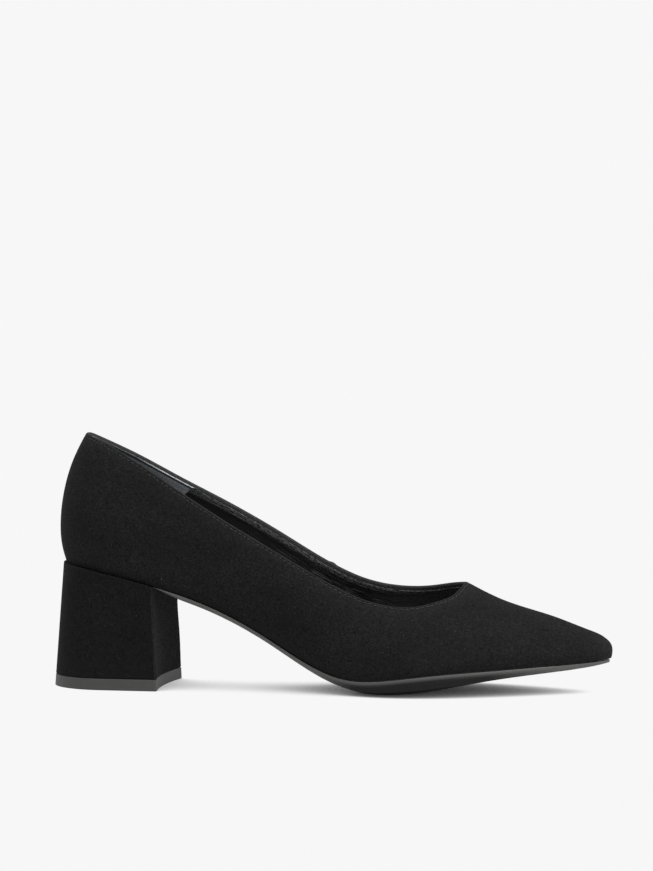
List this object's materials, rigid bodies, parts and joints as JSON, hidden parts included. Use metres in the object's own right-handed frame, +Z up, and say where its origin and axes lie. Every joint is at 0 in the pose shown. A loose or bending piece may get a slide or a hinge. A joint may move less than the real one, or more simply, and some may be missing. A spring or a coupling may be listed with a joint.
{
  "type": "block-heel pump",
  "caption": "Low-cut pump with a pointed toe, a hollow suede upper open at the collar, a thin sole with toe spring and a covered block heel on a rubber top piece.",
  "frame": {"origin": "on the floor, under the middle of the shoe's box", "axes": "+X to the toe, +Y to the inner side of the foot, +Z up"},
  "size_m": [0.247, 0.075, 0.112],
  "materials": {
    "suede": "black suede with a short nap",
    "insole_leather": "smooth black lining leather",
    "sole": "dark grey moulded sole with a satin edge",
    "heel_suede": "black suede wrapped round the block",
    "top_piece_rubber": "matt dark grey rubber"
  },
  "bodies": {
    "root": {"upper": "suede", "insole": "insole_leather", "outsole": "sole", "heel": "heel_suede", "top_piece": "top_piece_rubber"}
  },
  "joints": []
}
